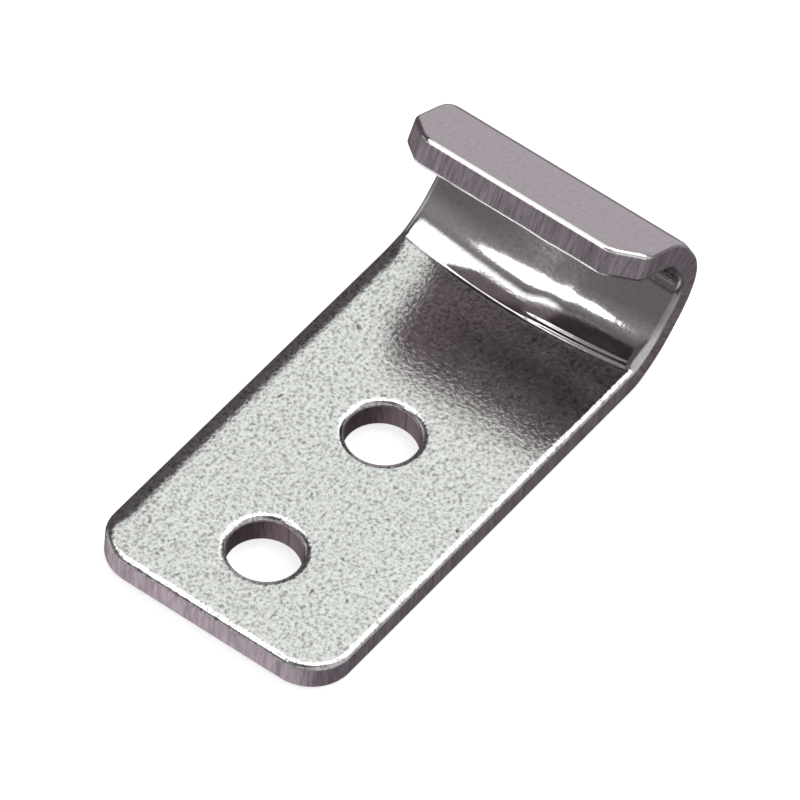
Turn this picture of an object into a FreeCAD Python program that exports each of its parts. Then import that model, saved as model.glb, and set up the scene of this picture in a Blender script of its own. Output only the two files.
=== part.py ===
import FreeCAD, Part
import math
import os

# Hooked catch plate: one strip of sheet metal, pierced with two screw holes,
# its far end bent up and folded back over itself into a hook.
#
# Frame: +Z up, +X from the screw holes towards the hook, Y across the strip.
# Origin: centre of the two-hole screw pattern, on the underside of the plate.
# All dimensions in millimetres.

# ---- driving dimensions -------------------------------------------------
width = 15.0             # strip width, across Y
sheet = 1.7              # sheet thickness
hole_dia = 4.0           # both screw holes
hole_pitch = 10.0        # between the hole centres, along X
front_margin = 5.2       # first hole centre to the front edge
foot_length = 26.45      # front edge to the crease, on the top face
front_corner_r = 2.5     # rounded corners of the front edge
lip_chamfer = 1.55       # 45 degree cropped corners of the lip
lip_chamfer_r = 1.0      # rounding at both ends of that crop

rise_low = 19.0          # heading of the rising web where it leaves the crease, from +X towards +Z
rise_high = 42.0         # its heading further up: between the two the web is dished
back_angle = 120.0       # heading of the back of the hook
lip_angle = 155.0        # heading of the lip, back over the plate
low_run = 1.293          # lengths of those two stretches, corner to corner, on the inside face
high_run = 4.235
back_run = 3.167         # length of the back between its two corners, inside
lip_run = 4.784          # last corner to the free edge of the lip, inside
crease_r = 0.8           # inside radii: crease, dished web, back and crown
web_r = 5.3
back_r = 1.4
crown_r = 2.0
thinning = 0.15          # sheet lost on the outside of the two tight bends

roll_r = 0.25            # rounded upper arris left by blanking
break_r = 0.25           # tumbled lower arris, the upper one on the lip
rim_r = 0.22             # rounded upper rim of the holes
rim_break_r = 0.10       # deburred lower rim of the holes


# ---- small 2-D helpers, in the XZ plane ---------------------------------
def heading(deg):
    a = math.radians(deg)
    return (math.cos(a), math.sin(a))


def outward(deg):
    a = math.radians(deg)
    return (math.sin(a), -math.cos(a))


def along(p, deg, d):
    h = heading(deg)
    return (p[0] + d * h[0], p[1] + d * h[1])


def offset(p, deg, d):
    n = outward(deg)
    return (p[0] + d * n[0], p[1] + d * n[1])


def meet(p, dp, q, dq):
    a, b = heading(dp), heading(dq)
    det = a[0] * (-b[1]) + b[0] * a[1]
    k = ((q[0] - p[0]) * (-b[1]) + b[0] * (q[1] - p[1])) / det
    return (p[0] + k * a[0], p[1] + k * a[1])


def vec(p, y=0.0):
    return FreeCAD.Vector(p[0], y, p[1])


def rounded(points, radii, y):
    """Edges of a path through the points, with a tangent arc at each inner point."""
    edges = []
    last = points[0]
    for i in range(1, len(points) - 1):
        p, q, s, r = points[i - 1], points[i], points[i + 1], radii[i - 1]
        a = (p[0] - q[0], p[1] - q[1])
        b = (s[0] - q[0], s[1] - q[1])
        la, lb = math.hypot(*a), math.hypot(*b)
        a = (a[0] / la, a[1] / la)
        b = (b[0] / lb, b[1] / lb)
        half = math.acos(a[0] * b[0] + a[1] * b[1]) / 2.0
        t = r / math.tan(half)
        start = (q[0] + t * a[0], q[1] + t * a[1])
        end = (q[0] + t * b[0], q[1] + t * b[1])
        m = (a[0] + b[0], a[1] + b[1])
        lm = math.hypot(*m)
        reach = r / math.sin(half) - r
        mid = (q[0] + m[0] / lm * reach, q[1] + m[1] / lm * reach)
        edges.append(Part.makeLine(vec(last, y), vec(start, y)))
        edges.append(Part.Arc(vec(start, y), vec(mid, y), vec(end, y)).toShape())
        last = end
    edges.append(Part.makeLine(vec(last, y), vec(points[-1], y)))
    return edges


# ---- side profile of the bent strip -------------------------------------
x_front = -hole_pitch / 2.0 - front_margin
half_w = width / 2.0

top_front = (x_front, sheet)
crease = (x_front + foot_length, sheet)
web = along(crease, rise_low, low_run)
knee = along(web, rise_high, high_run)
crown = along(knee, back_angle, back_run)
lip_in = along(crown, lip_angle, lip_run)

o_low = offset(crease, rise_low, sheet)
o_high = offset(web, rise_high, sheet)
o_back = offset(knee, back_angle, sheet - thinning)
lip_out = offset(lip_in, lip_angle, sheet)

bottom_front = (x_front, 0.0)
o_crease = meet(bottom_front, 0.0, o_low, rise_low)
o_web = meet(o_low, rise_low, o_high, rise_high)
o_knee = meet(o_high, rise_high, o_back, back_angle)
o_crown = meet(o_back, back_angle, lip_out, lip_angle)

y0 = -half_w
inside = rounded([top_front, crease, web, knee, crown, lip_in],
                 [crease_r, web_r, back_r, crown_r], y0)
outside = rounded([bottom_front, o_crease, o_web, o_knee, o_crown, lip_out],
                  [crease_r + sheet, web_r + sheet, back_r + sheet - thinning, crown_r + sheet - thinning], y0)
ends = [Part.makeLine(vec(bottom_front, y0), vec(top_front, y0)),
        Part.makeLine(vec(lip_in, y0), vec(lip_out, y0))]
wire = Part.Wire(Part.__sortEdges__(inside + outside + ends))
plate = Part.Face(wire).extrude(FreeCAD.Vector(0, width, 0))


# ---- rounded corners ----------------------------------------------------
def corner_tool(r):
    """Material outside a quarter round: corner at the origin, body towards -X and -Y."""
    big = 1.0
    pts = [FreeCAD.Vector(-r, big, 0), FreeCAD.Vector(big, big, 0), FreeCAD.Vector(big, -r, 0),
           FreeCAD.Vector(0, -r, 0), FreeCAD.Vector(-r, 0, 0)]
    c = math.cos(math.radians(45)) * r
    arc = Part.Arc(pts[3], FreeCAD.Vector(-r + c, -r + c, 0), pts[4]).toShape()
    w = Part.Wire([Part.makeLine(pts[4], pts[0]), Part.makeLine(pts[0], pts[1]),
                   Part.makeLine(pts[1], pts[2]), Part.makeLine(pts[2], pts[3]), arc])
    face = Part.Face(w)
    face.translate(FreeCAD.Vector(0, 0, -4))
    return face.extrude(FreeCAD.Vector(0, 0, 8))


def crop_tool(c, r):
    """The same for a 45 degree crop of size c whose two corners are rounded by r."""
    big = 1.0
    t = r * math.tan(math.radians(22.5))
    q = math.sqrt(0.5)
    reach = r * (1.0 / math.cos(math.radians(22.5)) - 1.0)
    m = math.radians(22.5)
    a0, a1 = (-c - t, 0.0), (-c + t * q, -t * q)
    am = (-c - reach * math.sin(m), -reach * math.cos(m))
    b0, b1 = (a1[1], a1[0]), (a0[1], a0[0])
    bm = (am[1], am[0])
    v = lambda p: FreeCAD.Vector(p[0], p[1], 0)
    corners = [(-c - t, big), (big, big), (big, -c - t)]
    w = Part.Wire([Part.makeLine(v(a0), v(corners[0])), Part.makeLine(v(corners[0]), v(corners[1])),
                   Part.makeLine(v(corners[1]), v(corners[2])), Part.makeLine(v(corners[2]), v(b1)),
                   Part.Arc(v(b1), v(bm), v(b0)).toShape(), Part.makeLine(v(b0), v(a1)),
                   Part.Arc(v(a1), v(am), v(a0)).toShape()])
    face = Part.Face(w)
    face.translate(FreeCAD.Vector(0, 0, -4))
    return face.extrude(FreeCAD.Vector(0, 0, 8))


for side in (1, -1):
    # front corners: the tool's +X faces the front edge, -X of the plate
    tool = corner_tool(front_corner_r)
    tool = tool.mirror(FreeCAD.Vector(0, 0, 0), FreeCAD.Vector(1, 0, 0))
    if side < 0:
        tool = tool.mirror(FreeCAD.Vector(0, 0, 0), FreeCAD.Vector(0, 1, 0))
    tool.translate(FreeCAD.Vector(x_front, side * half_w, 0))
    plate = plate.cut(tool)
    # lip corners: the tool's +X is turned to the heading of the lip
    tool = crop_tool(lip_chamfer, lip_chamfer_r)
    if side < 0:
        tool = tool.mirror(FreeCAD.Vector(0, 0, 0), FreeCAD.Vector(0, 1, 0))
    tool.rotate(FreeCAD.Vector(0, 0, 0), FreeCAD.Vector(0, 1, 0), -lip_angle)
    tool.translate(FreeCAD.Vector(lip_in[0], side * half_w, lip_in[1]))
    plate = plate.cut(tool)

# ---- screw holes --------------------------------------------------------
for hx in (-hole_pitch / 2.0, hole_pitch / 2.0):
    drill = Part.makeCylinder(hole_dia / 2.0, sheet + 2.0, FreeCAD.Vector(hx, 0, -1.0))
    plate = plate.cut(drill)


# ---- rounded and deburred arrises ---------------------------------------
def dist_to_path(p, path_edges):
    v = Part.Vertex(FreeCAD.Vector(p.x, y0, p.z))
    return min(v.distToShape(e)[0] for e in path_edges)


def sample(edge):
    a, b = edge.ParameterRange
    return [edge.valueAt(a + (b - a) * k) for k in (0.02, 0.35, 0.65, 0.98)]


def pick(shape, path_edges):
    """Outline edges that lie on one face of the sheet; holes and bend lines are left out."""
    found = []
    for e in shape.Edges:
        pts = sample(e)
        if any(dist_to_path(p, path_edges) > 1e-4 for p in pts):
            continue
        if all(math.hypot(abs(p.x) - hole_pitch / 2.0, p.y) < hole_dia / 2.0 + 0.01 and p.z < sheet + 0.01
               for p in pts):
            continue
        d = pts[-1].sub(pts[0])
        across = abs(d.y) > 0.999 * d.Length
        x_mid = pts[1].x
        at_end = abs(x_mid - x_front) < 1e-3 or \
            any(abs(x_mid - q[0]) < 1e-3 and abs(pts[1].z - q[1]) < 1e-3 for q in (lip_in, lip_out))
        if across and not at_end:
            continue
        found.append(e)
    return found


def rims(shape, z):
    return [e for e in shape.Edges
            if all(abs(p.z - z) < 1e-4 and
                   abs(math.hypot(abs(p.x) - hole_pitch / 2.0, p.y) - hole_dia / 2.0) < 1e-3
                   for p in sample(e))]


plate = plate.removeSplitter()
plate = plate.makeFillet(rim_r, rims(plate, sheet))
plate = plate.makeFillet(rim_break_r, rims(plate, 0.0))
plate = plate.makeFillet(roll_r, pick(plate, inside))
plate = plate.makeFillet(break_r, pick(plate, outside))

if plate.ShapeType != "Solid":
    plate = plate.Solids[0]

os.makedirs("parts", exist_ok=True)
plate.exportStep("parts/catch_plate.step")

box = plate.BoundBox
print("valid", plate.isValid(), "volume mm3 %.2f" % plate.Volume, "faces", len(plate.Faces))
print("box X %.3f..%.3f Y %.3f..%.3f Z %.3f..%.3f" %
      (box.XMin, box.XMax, box.YMin, box.YMax, box.ZMin, box.ZMax))
for name, p in (("crease", crease), ("web", web), ("knee", knee), ("crown", crown), ("lip_in", lip_in),
                ("lip_out", lip_out), ("o_crease", o_crease), ("o_knee", o_knee), ("o_crown", o_crown)):
    print(name, "x %.3f z %.3f" % p)
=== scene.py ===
import math

import bmesh
import bpy
import numpy as np
from mathutils import Matrix, Vector, noise
from mathutils.geometry import delaunay_2d_cdt


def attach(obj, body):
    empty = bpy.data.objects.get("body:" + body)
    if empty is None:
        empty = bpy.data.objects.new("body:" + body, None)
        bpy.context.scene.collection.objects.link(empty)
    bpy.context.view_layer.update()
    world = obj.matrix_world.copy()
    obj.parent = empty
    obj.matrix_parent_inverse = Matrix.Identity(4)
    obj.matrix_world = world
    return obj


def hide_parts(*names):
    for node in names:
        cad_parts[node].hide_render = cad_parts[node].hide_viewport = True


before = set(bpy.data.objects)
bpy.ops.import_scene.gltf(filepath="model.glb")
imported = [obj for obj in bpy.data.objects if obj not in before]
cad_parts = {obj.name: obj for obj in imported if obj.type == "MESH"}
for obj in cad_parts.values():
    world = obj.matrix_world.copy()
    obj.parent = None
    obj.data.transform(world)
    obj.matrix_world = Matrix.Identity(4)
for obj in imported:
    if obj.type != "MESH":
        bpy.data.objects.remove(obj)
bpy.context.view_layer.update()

MM = 0.001

# ------------------------------------------------------------------ dimensions (mm, the row frame)
WIDTH = 15.0
HALF = WIDTH / 2.0
SHEET = 1.7
X_FRONT = -10.2
CREASE = (16.25, SHEET)
WEB = (17.473, 2.121)
KNEE = (20.620, 4.955)
BACK, LIP = 120.0, 155.0
BACK_RUN, LIP_RUN = 3.167, 4.784
R_CREASE, R_BACK, R_CROWN = 0.7, 1.4, 2.0
BOW_MID, BOW_END = -0.28, 0.42   # the bend line is crowned: where the crease lies at mid width and at the sides
THIN = 0.15
FRONT_R = 2.5
CROP, CROP_R = 1.55, 1.0          # cropped corners of the lip, and the rounding at both ends of the crop
HOLES = (-5.0, 5.0)
HOLE_R = 2.0


# ------------------------------------------------------------------ the sheet's inside path
def head(deg):
    a = math.radians(deg)
    return np.array([math.cos(a), math.sin(a)])


def build_path(y=None):
    """Pieces of the inside path at one place across the strip: (kind, length, start, heading, radius or 0)."""
    bow = 0.0 if y is None else BOW_MID + (BOW_END - BOW_MID) * (y / HALF) ** 2
    web_bow = 0.95 * bow
    pts = [np.array([X_FRONT, SHEET]), np.array([CREASE[0] + bow, SHEET]),
           np.array([WEB[0] + web_bow, WEB[1]]), np.array(KNEE)]
    pts.append(pts[-1] + BACK_RUN * head(BACK))
    pts.append(pts[-1] + LIP_RUN * head(LIP))
    heads = [math.degrees(math.atan2(b[1] - a[1], b[0] - a[0])) for a, b in zip(pts[:-1], pts[1:])]
    low = float(np.linalg.norm(pts[2] - pts[1]))
    turns = [math.radians(b - a) for a, b in zip(heads[:-1], heads[1:])]
    cuts = [R_CREASE * math.tan(turns[0] / 2), 0.0, R_BACK * math.tan(turns[2] / 2), R_CROWN * math.tan(turns[3] / 2)]
    cuts[1] = (low - cuts[0]) * 0.97
    pieces, start = [], pts[0]
    for i in range(4):
        end = pts[i + 1] - cuts[i] * head(heads[i])
        r = cuts[i] / math.tan(turns[i] / 2)
        pieces.append(("line", float(np.linalg.norm(end - start)), start, heads[i], 0.0))
        pieces.append(("arc", r * turns[i], end, heads[i], r))
        start = pts[i + 1] + cuts[i] * head(heads[i + 1])
    pieces.append(("line", float(np.linalg.norm(pts[5] - start)), start, heads[4], 0.0))
    return pieces


PATH = build_path()
STOPS = np.concatenate([[0.0], np.cumsum([p[1] for p in PATH])])
LENGTH = float(STOPS[-1])
ACROSS = {}


def at(s, y=None):
    """Point on the inside path and its heading in radians, at developed length s and place y across."""
    k = int(np.clip(np.searchsorted(STOPS, s, side="right") - 1, 0, len(PATH) - 1))
    if y is None:
        path = PATH
    else:
        key = round(abs(y), 4)
        if key not in ACROSS:
            ACROSS[key] = build_path(key)
        path = ACROSS[key]
    kind, length, p, h, r = path[k]
    if k == 0:
        d = s + (length - PATH[0][1]) * smooth(19.0, PATH[0][1], s)     # the holes stay where they are
    else:
        d = (s - STOPS[k]) * length / PATH[k][1]
    if kind == "line":
        return p + d * head(h), math.radians(h)
    a0 = math.radians(h)
    c = p + r * np.array([-math.sin(a0), math.cos(a0)])
    a = a0 + d / r
    return c + r * np.array([math.sin(a), -math.cos(a)]), a


def smooth(a, b, x):
    t = min(1.0, max(0.0, (x - a) / (b - a)))
    return t * t * (3 - 2 * t)


def thick(s):
    """Sheet thickness: a little is drawn out of the two tight bends."""
    up = smooth(STOPS[5] - 0.6, STOPS[5] + 0.6, s)
    down = smooth(STOPS[8] - 0.9, STOPS[8] + 0.3, s)
    return SHEET - THIN * up * (1 - down)


def bend(s, y, d):
    """Developed blank (s along, y across, d below the inside face) to the bent shape."""
    p, a = at(s, y)
    n = np.array([math.sin(a), -math.cos(a)])
    q = p + n * d * thick(s) / SHEET
    return (q[0], y, q[1])


# ------------------------------------------------------------------ the developed blank
def outline(ncorner=18, step=0.22):
    """Closed outline of the blank: points, and the inward direction at each."""
    pts, inward = [], []

    def arc(cx, cy, r, a0, a1):
        for a in np.linspace(a0, a1, ncorner):
            pts.append((cx + r * math.cos(a), cy + r * math.sin(a)))
            inward.append((-math.cos(a), -math.sin(a)))

    def crop(sign):
        """Points round a cropped corner of the lip, from the side to the end edge."""
        q, t = math.sqrt(0.5), CROP_R * math.tan(math.radians(22.5))
        got = []
        for a in np.linspace(0.0, 45.0, 7):                   # from facing sideways towards facing the end
            a = math.radians(a)
            got.append(((LENGTH - CROP - t + CROP_R * math.sin(a), h - CROP_R + CROP_R * math.cos(a)),
                        (-math.sin(a), -math.cos(a))))
        for k in range(1, 8):
            e0 = (LENGTH - CROP + t * q, h - t * q)
            e1 = (LENGTH - t * q, h - CROP + t * q)
            got.append(((e0[0] + (e1[0] - e0[0]) * k / 8, e0[1] + (e1[1] - e0[1]) * k / 8), (-q, -q)))
        for a in np.linspace(45.0, 90.0, 7):
            a = math.radians(a)
            got.append(((LENGTH - CROP_R + CROP_R * math.sin(a), h - CROP - t + CROP_R * math.cos(a)),
                        (-math.sin(a), -math.cos(a))))
        if sign > 0:
            got = got[::-1]
        for (ps, py), (ns, ny) in got:
            pts.append((ps, sign * py))
            inward.append((ns, sign * ny))

    def run(points, n):
        for q in points:
            pts.append(q)
            inward.append(n)

    h = HALF
    side = side_stations()
    arc(FRONT_R, -h + FRONT_R, FRONT_R, math.pi, 1.5 * math.pi)
    run([(s, -h) for s in side], (0.0, 1.0))
    crop(-1)
    end = CROP + 0.55
    run([(LENGTH, float(y)) for y in np.arange(-h + end, h - end + step / 2, step)], (-1.0, 0.0))
    crop(1)
    run([(s, h) for s in side[::-1]], (0.0, -1.0))
    arc(FRONT_R, h - FRONT_R, FRONT_R, 0.5 * math.pi, math.pi)
    run([(0.0, float(y)) for y in np.arange(h - FRONT_R - step, -h + FRONT_R + step / 2, -step)], (1.0, 0.0))
    return pts, inward


def stations(lo, hi, flat, tight):
    out, s = [], lo
    while s < hi - 1e-6:
        out.append(s)
        near = any(STOPS[k] - 0.3 <= s <= STOPS[k + 1] + 0.3 for k in (1, 5, 7))
        s += tight if near else flat
    return out


def side_stations():
    return stations(FRONT_R + 0.22, LENGTH - CROP - 0.55, 0.22, 0.10)


def hole_ring(hx, r, n=96):
    cs = hx - X_FRONT
    return [(cs + r * math.cos(2 * math.pi * k / n), r * math.sin(2 * math.pi * k / n)) for k in range(n)]


ROLL_W, ROLL_D = 0.40, 0.26      # blanking roll on the inside face: width and depth
WIDE_W, WIDE_D = 1.15, 0.44      # the same along the +Y side of the plate, where the die gap was wider
BACK_W, BACK_D = 0.34, 0.24      # deburred arris on the outside face
RIM_W, RIM_D = 0.42, 0.28        # roll at the hole rims


def wide(s, y):
    """0 on most of the outline, 1 along the +Y side of the flat."""
    return smooth(HALF - 0.9, HALF - 0.05, y) * smooth(0.6, 2.6, s) * (1 - smooth(STOPS[1] - 1.6, STOPS[1] + 0.6, s))


def wall_profile(w1, d1, w2, d2):
    """(inset from the wall, depth below the inside face, share of the roll) from the inside to the outside face."""
    rings = []
    for k in range(11):
        a = 0.5 * math.pi * k / 10
        rings.append((w1 * (1 - math.sin(a)), d1 * (1 - math.cos(a)), 1.0 - k / 10))
    for k in range(1, 8):
        rings.append((0.0, d1 + (SHEET - d1 - d2) * k / 8, 0.0))
    for k in range(7):
        a = 0.5 * math.pi * k / 6
        rings.append((w2 * (1 - math.cos(a)), SHEET - d2 * (1 - math.sin(a)), 0.0))
    return rings


def face_fill(loops, s_lines, y_lines, clear, extra):
    """Triangulates one face of the blank between its loops, through a regular grid of points."""
    verts, edges, spans = [], [], []
    for loop in loops:
        base = len(verts)
        spans.append((base, base + len(loop)))
        verts += [Vector(p) for p in loop]
        edges += [(base + i, base + (i + 1) % len(loop)) for i in range(len(loop))]
    fixed = len(verts)
    for s in s_lines:
        for y in y_lines:
            # inside the outline with some clearance
            r_out = clear + (extra * wide(s, HALF) if y > 0 else 0.0)
            if s < r_out or s > LENGTH - r_out or abs(y) > HALF - r_out:
                continue
            ok = True
            if s < FRONT_R and abs(y) > HALF - FRONT_R and \
                    math.hypot(s - FRONT_R, abs(y) - (HALF - FRONT_R)) > FRONT_R - r_out:
                ok = False
            if (LENGTH - s + HALF - abs(y) - CROP) * math.sqrt(0.5) < r_out:
                ok = False
            for hx in HOLES:
                if math.hypot(s - (hx - X_FRONT), y) < HOLE_R + clear + 0.02:
                    ok = False
            if ok:
                verts.append(Vector((s, y)))
    vo, _, fo, ov, _, _ = delaunay_2d_cdt(verts, edges, [], 1, 1e-7)
    index = {}
    for new, olds in enumerate(ov):
        for o in olds:
            index[new] = min(o, index.get(new, 1 << 30))
    tris = []
    for f in fo:
        t = [index[i] for i in f]
        if any(all(a <= i < b for i in t) for a, b in spans[1:]):
            continue          # inside a hole
        tris.append(t)
    return verts, fixed, tris


def make_plate():
    co, zone, uv = [], [], []

    def add(s, y, d, z, u=None):
        co.append((s, y, d)); zone.append(z); uv.append(u if u else (s, y))
        return len(co) - 1

    faces = []
    walls = []
    prof = wall_profile(ROLL_W, ROLL_D, BACK_W, BACK_D)
    rings = []
    base, inward = outline()
    per = np.concatenate([[0.0], np.cumsum([math.dist(base[i], base[i + 1]) for i in range(len(base) - 1)])])
    for k, (inset, depth, share) in enumerate(prof):
        z = 1.0 if share == 0.0 and ROLL_D - 0.02 <= depth <= SHEET - BACK_D + 0.02 else 0.0
        ring = []
        for i, ((ps, py), (ns, ny)) in enumerate(zip(base, inward)):
            w, dd = inset, depth
            if k <= 10:
                f = wide(ps, py)
                w += f * (WIDE_W - ROLL_W) * inset / ROLL_W
                dd += f * (WIDE_D - ROLL_D) * depth / ROLL_D
            elif k <= 17:
                dd += wide(ps, py) * (WIDE_D - ROLL_D) * (18 - k) / 8
            ring.append(add(ps + ns * w, py + ny * w, dd, z, (per[i], dd)))
        rings.append(ring)
    walls.append(rings)
    hole_rings = []
    prof_h = wall_profile(RIM_W, RIM_D, 0.12, 0.10)
    for hx in HOLES:
        hr = []
        for inset, depth, share in prof_h:
            z = 2.0 if RIM_D - 0.02 <= depth <= SHEET - 0.10 + 0.02 else 0.0
            ring = hole_ring(hx, HOLE_R + inset)
            hr.append([add(p[0], p[1], depth, z, (i * 0.13, depth)) for i, p in enumerate(ring)])
        hole_rings.append(hr)
        walls.append(hr)
    for w_i, rr in enumerate(walls):
        n = len(rr[0])
        for a, b in zip(rr[:-1], rr[1:]):
            for i in range(n):
                j = (i + 1) % n
                faces.append((a[i], a[j], b[j], b[i]) if w_i == 0 else (a[j], a[i], b[i], b[j]))
    s_lines = [s for s in stations(0.3, LENGTH - 0.25, 0.25, 0.085) if abs(s - STOPS[1] - 0.2) > 0.62]
    s_lines = sorted(s_lines + list(np.arange(STOPS[1] - 0.40, STOPS[1] + 0.81, 0.035)))
    y_lines = np.linspace(-HALF + 0.45, HALF - 0.45, 58)
    for top in (True, False):
        k = 0 if top else -1
        w = ROLL_W if top else BACK_W
        ring_ids = rings[k] + [i for hr in hole_rings for i in hr[k]]
        loops = [[co[i][:2] for i in rings[k]]] + [[co[i][:2] for i in hr[k]] for hr in hole_rings]
        verts, fixed, tris = face_fill(loops, s_lines, y_lines, w + 0.11, WIDE_W - ROLL_W if top else 0.0)
        ids = list(ring_ids)
        for v in verts[fixed:]:
            ids.append(add(v.x, v.y, 0.0 if top else SHEET, 0.0))
        for t in tris:
            t = [ids[i] for i in t]
            faces.append(tuple(t) if top else tuple(t[::-1]))

    # slow waves of a pressed and tumbled strip, a few hundredths of a millimetre at most
    def wave(s, y, d):
        v = Vector((s * 0.16, y * 0.16, d * 0.2))
        a = noise.noise(v) * 0.020
        a += noise.noise(Vector((s * 0.55, y * 0.55, 7.3))) * 0.0035
        return a

    def crease_mark(s, y):
        """The press leaves a fine nick along the crease, and two small steps towards the -Y side."""
        q = s - STOPS[1]
        ends = smooth(0.05, 0.6, HALF - abs(y))
        nick = 0.045 * math.exp(-((q + 0.02) / 0.085) ** 2)
        side = (1 - smooth(-2.6, -0.4, y)) * ends
        step = -0.068 * side * smooth(0.01, 0.16, q)
        step2 = -0.042 * side * smooth(0.33, 0.44, q)
        back = 0.110 * (1 - smooth(-3.8, 0.4, y)) * ends * smooth(0.46, 3.0, q)
        return nick * ends + step + step2 + back

    out = []
    for s, y, d in co:
        x, yy, z = bend(s, y, d)
        p, a = at(s, y)
        fade = smooth(0.0, 0.9, HALF - abs(y)) * smooth(0.0, 0.9, min(s, LENGTH - s))
        calm = 1 - 0.85 * smooth(STOPS[1] - 0.5, STOPS[1] + 0.5, s)
        amp = wave(s, y, d) * fade * calm + crease_mark(s, y)
        n = (math.sin(a), -math.cos(a))
        x += n[0] * amp * (1 if d < SHEET / 2 else 0.0)
        z += n[1] * amp * (1 if d < SHEET / 2 else 0.0)
        out.append((x * MM, yy * MM, z * MM))
    me = bpy.data.meshes.new("catch_plate_body")
    me.from_pydata(out, [], faces)
    bm = bmesh.new()
    bm.from_mesh(me)
    lay = bm.verts.layers.float.new("zone")
    inside_hook_shade = bm.verts.layers.float.new("inside_hook_shade")
    formed = bm.verts.layers.float.new("formed")
    for v, z, (s, y, d) in zip(bm.verts, zone, co):
        v[lay] = z
        inner = 1.0 - smooth(0.2, 1.2, d)
        # painted shade: a mask over the inside face of the hook, used to darken its base colour
        v[inside_hook_shade] = (0.55 * smooth(STOPS[3] + 1.6, STOPS[4] + 0.8, s) + 0.45 * smooth(STOPS[6] - 0.3, STOPS[7] + 0.4, s)) \
            * inner * (1 - smooth(LENGTH - 0.5, LENGTH - 0.1, s))
        v[formed] = smooth(STOPS[1] - 0.4, STOPS[1] + 0.2, s)
    uvl = bm.loops.layers.uv.new("UVMap")
    for f in bm.faces:
        for l in f.loops:
            l[uvl].uv = uv[l.vert.index]
    bmesh.ops.recalc_face_normals(bm, faces=bm.faces[:])
    tri = [f for f in bm.faces if len(f.verts) == 3]
    bmesh.ops.join_triangles(bm, faces=tri, angle_face_threshold=0.35, angle_shape_threshold=0.6)
    for f in bm.faces:
        f.smooth = True
    print("open edges", sum(1 for e in bm.edges if not e.is_manifold), "faces", len(bm.faces), "verts", len(bm.verts))
    bm.to_mesh(me)
    bm.free()
    ob = bpy.data.objects.new("catch_plate_body", me)
    bpy.context.scene.collection.objects.link(ob)
    return ob


# ------------------------------------------------------------------ materials
def nodes_of(mat):
    mat.use_nodes = True
    nt = mat.node_tree
    nt.nodes.clear()
    return nt, nt.nodes, nt.links


def ramp(n, stops):
    r = n.new("ShaderNodeValToRGB")
    el = r.color_ramp.elements
    while len(el) > 1:
        el.remove(el[-1])
    el[0].position, el[0].color = stops[0][0], (*stops[0][1], 1) if len(stops[0][1]) == 3 else stops[0][1]
    for pos, col in stops[1:]:
        e = el.new(pos)
        e.color = (*col, 1)
    return r


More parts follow.
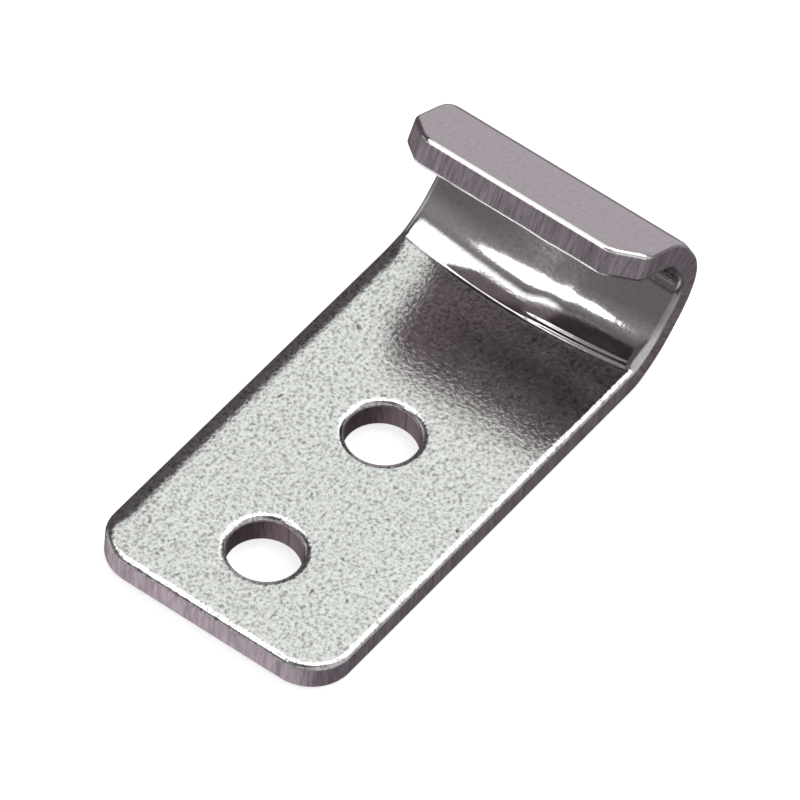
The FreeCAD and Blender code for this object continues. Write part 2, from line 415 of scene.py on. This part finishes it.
def plate_material():
    mat = bpy.data.materials.new("plated_steel")
    nt, n, l = nodes_of(mat)
    out = n.new("ShaderNodeOutputMaterial")
    bsdf = n.new("ShaderNodeBsdfPrincipled")
    l.new(bsdf.outputs[0], out.inputs[0])
    bsdf.inputs["Metallic"].default_value = 1.0
    tc = n.new("ShaderNodeTexCoord")
    att = n.new("ShaderNodeAttribute")
    att.attribute_name = "zone"
    inside_hook_shade = n.new("ShaderNodeAttribute")
    inside_hook_shade.attribute_name = "inside_hook_shade"          # the inside of the hook: painted shade, its base colour darkened and its roughness raised
    formed = n.new("ShaderNodeAttribute")
    formed.attribute_name = "formed"      # where the press has ironed the mottle out
    uvn = n.new("ShaderNodeUVMap")
    uvn.uv_map = "UVMap"

    def noise_tex(scale, detail, rough, vec=None, dist=0.0):
        t = n.new("ShaderNodeTexNoise")
        t.inputs["Scale"].default_value = scale
        t.inputs["Detail"].default_value = detail
        t.inputs["Roughness"].default_value = rough
        t.inputs["Distortion"].default_value = dist
        l.new(vec if vec else tc.outputs["Object"], t.inputs["Vector"])
        return t

    def math_node(op, a, b=None, c=None, clamp=False):
        m = n.new("ShaderNodeMath")
        m.operation = op
        m.use_clamp = clamp
        for i, v in enumerate((a, b, c)):
            if v is None:
                continue
            if isinstance(v, (int, float)):
                m.inputs[i].default_value = v
            else:
                l.new(v, m.inputs[i])
        return m.outputs[0]

    def mix(fac, a, b):
        m = n.new("ShaderNodeMix")
        m.data_type = "RGBA"
        l.new(fac, m.inputs[0])
        for v, k in ((a, 6), (b, 7)):
            if isinstance(v, tuple):
                m.inputs[k].default_value = (*v, 1)
            else:
                l.new(v, m.inputs[k])
        return m.outputs[2]

    wall = math_node("MINIMUM", att.outputs["Fac"], 1.0, clamp=True)
    hole = math_node("SUBTRACT", att.outputs["Fac"], 1.0, clamp=True)

    mottle = noise_tex(4600, 3.0, 0.60)           # about a fifth of a millimetre
    cloud = noise_tex(420, 4.0, 0.6)              # a few millimetres
    speck = noise_tex(2400, 2.0, 0.5, dist=0.6)
    # wall striations, drawn along the thickness
    mp = n.new("ShaderNodeMapping")
    mp.inputs["Scale"].default_value = (5.0, 0.55, 1.0)
    l.new(uvn.outputs[0], mp.inputs["Vector"])
    stria = noise_tex(1.0, 4.0, 0.7, vec=mp.outputs[0])
    mp2 = n.new("ShaderNodeMapping")
    mp2.inputs["Scale"].default_value = (6.0, 5.0, 1.0)
    l.new(uvn.outputs[0], mp2.inputs["Vector"])
    grit = noise_tex(1.0, 3.0, 0.65, vec=mp2.outputs[0])

    # colour
    base = ramp(n, [(0.31, (0.34, 0.335, 0.32)), (0.49, (0.79, 0.795, 0.775)), (0.66, (0.97, 0.975, 0.96))])
    calm = math_node("MULTIPLY_ADD", math_node("SUBTRACT", mottle.outputs["Fac"], 0.5),
                     math_node("MULTIPLY_ADD", formed.outputs["Fac"], -0.75, 1.0), 0.5)
    l.new(calm, base.inputs[0])
    spot = ramp(n, [(0.25, (0.30, 0.27, 0.27)), (0.33, (1, 1, 1))])
    l.new(speck.outputs["Fac"], spot.inputs[0])
    mul = n.new("ShaderNodeMix")
    mul.data_type = "RGBA"
    mul.blend_type = "MULTIPLY"
    l.new(math_node("MULTIPLY_ADD", formed.outputs["Fac"], -0.85, 1.0), mul.inputs[0])
    l.new(base.outputs[0], mul.inputs[6])
    l.new(spot.outputs[0], mul.inputs[7])
    edge_col = ramp(n, [(0.28, (0.26, 0.225, 0.255)), (0.72, (0.68, 0.615, 0.665))])
    l.new(stria.outputs["Fac"], edge_col.inputs[0])
    hole_col = ramp(n, [(0.3, (0.13, 0.10, 0.115)), (0.8, (0.27, 0.215, 0.235))])
    l.new(stria.outputs["Fac"], hole_col.inputs[0])
    # painted shade: the base colour on the inside of the hook is pulled towards dark mauve (0.155, 0.13, 0.14)
    hook_shaded_colour = mix(inside_hook_shade.outputs["Fac"], mul.outputs[2], (0.155, 0.13, 0.14))
    c1 = mix(wall, hook_shaded_colour, edge_col.outputs[0])
    c2 = mix(hole, c1, hole_col.outputs[0])
    l.new(c2, bsdf.inputs["Base Color"])

    # roughness
    r_face = math_node("MULTIPLY_ADD", cloud.outputs["Fac"], 0.06, 0.06)
    r_face = math_node("MULTIPLY_ADD", mottle.outputs["Fac"], 0.06, r_face)
    r_face = math_node("MULTIPLY_ADD", inside_hook_shade.outputs["Fac"], 0.06, r_face)
    r_face = math_node("MULTIPLY_ADD", formed.outputs["Fac"], -0.045, r_face)
    r_wall = math_node("MULTIPLY_ADD", stria.outputs["Fac"], 0.20, 0.36)
    mr = n.new("ShaderNodeMix")
    mr.data_type = "FLOAT"
    l.new(wall, mr.inputs[0])
    l.new(r_face, mr.inputs[2])
    l.new(r_wall, mr.inputs[3])
    l.new(mr.outputs[0], bsdf.inputs["Roughness"])

    # relief
    h_face = math_node("MULTIPLY", mottle.outputs["Fac"], math_node("MULTIPLY_ADD", formed.outputs["Fac"], -2.2, 2.5))
    h_wall = math_node("MULTIPLY_ADD", grit.outputs["Fac"], 0.6, stria.outputs["Fac"])
    mh = n.new("ShaderNodeMix")
    mh.data_type = "FLOAT"
    l.new(wall, mh.inputs[0])
    l.new(h_face, mh.inputs[2])
    l.new(math_node("MULTIPLY", h_wall, 8.0), mh.inputs[3])
    bump = n.new("ShaderNodeBump")
    bump.inputs["Strength"].default_value = 0.55
    bump.inputs["Distance"].default_value = 0.012 * MM
    l.new(mh.outputs[0], bump.inputs["Height"])
    l.new(bump.outputs[0], bsdf.inputs["Normal"])
    return mat


# ------------------------------------------------------------------ camera
cam_data = bpy.data.cameras.new("camera")
cam_data.sensor_fit = "HORIZONTAL"
cam_data.sensor_width = 36.0
cam_data.lens = 540.0
cam_data.clip_start = 0.05
cam_data.clip_end = 20.0
cam = bpy.data.objects.new("camera", cam_data)
bpy.context.scene.collection.objects.link(cam)
RIGHT = Vector((0.59717417, -0.7993929, 0.0659849))
DOWN = Vector((-0.58622176, -0.49111281, -0.6443231))
AHEAD = Vector((0.54747334, 0.34609132, -0.7619014))
CAM_T = (-10.06432, 11.68371, 607.28749)
pos = -(RIGHT * CAM_T[0] + DOWN * CAM_T[1] + AHEAD * CAM_T[2]) + Vector((X_FRONT, 0, 0))
cam.matrix_world = Matrix((
    (RIGHT.x, -DOWN.x, -AHEAD.x, pos.x * MM),
    (RIGHT.y, -DOWN.y, -AHEAD.y, pos.y * MM),
    (RIGHT.z, -DOWN.z, -AHEAD.z, pos.z * MM),
    (0, 0, 0, 1)))
bpy.context.scene.camera = cam

# ------------------------------------------------------------------ object
plate = make_plate()
plate.data.materials.append(plate_material())
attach(plate, "root")
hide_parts("catch_plate")

# ------------------------------------------------------------------ stage
floor_me = bpy.data.meshes.new("floor")
floor_me.from_pydata([(-3, -3, 0), (3, -3, 0), (3, 3, 0), (-3, 3, 0)], [], [(0, 1, 2, 3)])
floor = bpy.data.objects.new("floor", floor_me)
bpy.context.scene.collection.objects.link(floor)
floor.location.z = -0.00002
fm = bpy.data.materials.new("floor")
nt, n, l = nodes_of(fm)
fo = n.new("ShaderNodeOutputMaterial")
fb = n.new("ShaderNodeBsdfPrincipled")
fb.inputs["Base Color"].default_value = (0.86, 0.86, 0.86, 1)
fb.inputs["Roughness"].default_value = 0.9
fb.inputs["Specular IOR Level"].default_value = 0.0
fb.inputs["Emission Color"].default_value = (1, 1, 1, 1)
fb.inputs["Emission Strength"].default_value = 0.62
l.new(fb.outputs[0], fo.inputs[0])
floor.data.materials.append(fm)
floor.visible_glossy = False

# ------------------------------------------------------------------ light
# A grey studio: pale overhead, darker to the sides, so that the metal has something to reflect.
world = bpy.data.worlds.new("studio")
bpy.context.scene.world = world
world.use_nodes = True
wnt = world.node_tree
wn, wl = wnt.nodes, wnt.links
wn.clear()
wo = wn.new("ShaderNodeOutputWorld")
bg = wn.new("ShaderNodeBackground")
wl.new(bg.outputs[0], wo.inputs[0])
wtc = wn.new("ShaderNodeTexCoord")


def lobe(toward, inner, outer, prev, color):
    """Blends color over prev inside a soft cone about a direction; inner and outer half angles in degrees."""
    dot = wn.new("ShaderNodeVectorMath")
    dot.operation = "DOT_PRODUCT"
    wl.new(wtc.outputs["Generated"], dot.inputs[0])
    dot.inputs[1].default_value = Vector(toward).normalized()
    mr = wn.new("ShaderNodeMapRange")
    mr.interpolation_type = "SMOOTHSTEP"
    mr.inputs["From Min"].default_value = math.cos(math.radians(outer))
    mr.inputs["From Max"].default_value = math.cos(math.radians(inner))
    wl.new(dot.outputs["Value"], mr.inputs["Value"])
    m = wn.new("ShaderNodeMix")
    m.data_type = "RGBA"
    wl.new(mr.outputs[0], m.inputs[0])
    if isinstance(prev, tuple):
        m.inputs[6].default_value = (*prev, 1)
    else:
        wl.new(prev, m.inputs[6])
    m.inputs[7].default_value = (*color, 1)
    return m.outputs[2]


def panel(u0, slant, u1, v0, v1, soft, prev, color):
    """A diffuser overhead: x/z from u0 to u1 and y/z from v0 to v1, its -X edge slanted, with soft edges."""
    sep = wn.new("ShaderNodeSeparateXYZ")
    wl.new(wtc.outputs["Generated"], sep.inputs[0])

    def calc(op, a, b=None, clamp=False):
        m = wn.new("ShaderNodeMath")
        m.operation = op
        m.use_clamp = clamp
        for i, v in enumerate((a, b)):
            if isinstance(v, (int, float)):
                m.inputs[i].default_value = v
            elif v is not None:
                wl.new(v, m.inputs[i])
        return m.outputs[0]

    up = calc("MAXIMUM", sep.outputs[2], 0.02)
    total = None
    u = calc("DIVIDE", sep.outputs[0], up)
    v = calc("DIVIDE", sep.outputs[1], up)
    skew = calc("SUBTRACT", u, calc("MULTIPLY", calc("SUBTRACT", v, 0.35), slant))
    for q, edge, sign in ((skew, u0, 1.0), (u, u1, -1.0), (v, v0, 1.0), (v, v1, -1.0)):
        f = calc("ADD", calc("MULTIPLY", calc("SUBTRACT", q, edge), sign / soft), 0.5, True)
        total = f if total is None else calc("MULTIPLY", total, f)
    m = wn.new("ShaderNodeMix")
    m.data_type = "RGBA"
    wl.new(total, m.inputs[0])
    wl.new(prev, m.inputs[6])
    if isinstance(color, tuple):
        m.inputs[7].default_value = (*color, 1)
    else:
        wl.new(color, m.inputs[7])
    return m.outputs[2]


sky = lobe((0, 0, -1), 20, 80, (0.10, 0.085, 0.095), (0.17, 0.15, 0.16))
sky = lobe((-0.547, 0.346, -0.762), 22, 52, sky, (1.0, 0.92, 0.97))     # the lit table in front
sky = lobe((0.95, 0.10, 0.02), 24, 46, sky, (0.47, 0.41, 0.46))         # behind the hook, at the horizon
sky = lobe((0.0, -0.95, 0.30), 34, 64, sky, (0.56, 0.55, 0.56))         # pale walls round the table
sky = lobe((-0.30, 0.93, 0.20), 12, 34, sky, (0.46, 0.44, 0.455))
sky = lobe((-0.88, -0.30, 0.38), 14, 34, sky, (0.46, 0.44, 0.455))
sky = lobe((-0.76, 0.34, 0.56), 14, 38, sky, (0.27, 0.245, 0.26))       # a dim wall in front
cloth = lobe((0.547, 0.346, 0.762), 10, 19, (1.75, 1.75, 1.75), (0.86, 0.885, 0.865))   # its dimmer corner
sky = panel(-0.30, -0.57, 1.25, -1.3, 0.64, 0.09, sky, cloth)           # the big overhead diffuser
wl.new(sky, bg.inputs[0])
bg.inputs[1].default_value = 1.0


def softbox(name, at_mm, aim_mm, size_mm, radiance, size_y_mm=None, shape="RECTANGLE", color=(1, 1, 1), spin=0.0):
    """Area light placed at a point and aimed at another, in mm; power follows from its size and radiance."""
    lamp = bpy.data.lights.new(name, "AREA")
    lamp.shape = shape
    lamp.size = size_mm * MM
    lamp.size_y = (size_y_mm or size_mm) * MM
    area = lamp.size * (lamp.size_y if shape in ("RECTANGLE", "ELLIPSE") else lamp.size)
    if shape in ("DISK", "ELLIPSE"):
        area *= math.pi / 4
    lamp.energy = radiance * area * math.pi
    lamp.color = color
    ob = bpy.data.objects.new(name, lamp)
    bpy.context.scene.collection.objects.link(ob)
    ob.location = Vector(at_mm) * MM
    d = (Vector(at_mm) - Vector(aim_mm)).normalized()
    ob.rotation_mode = "QUATERNION"
    q = (-d).to_track_quat("-Z", "Y")
    ob.rotation_quaternion = q @ Matrix.Rotation(math.radians(spin), 4, "Z").to_quaternion()
    ob.visible_camera = False
    return ob


K = Vector((18.0, -1.5, 3.0))
softbox("fill_front", K + Vector((-0.53, 0.325, 0.783)) * 300, K, 66.0, 4.0, 60.0, "ELLIPSE")

bpy.context.scene.view_settings.view_transform = "Standard"
bpy.context.scene.view_settings.look = "None"
bpy.context.scene.view_settings.exposure = 0.0
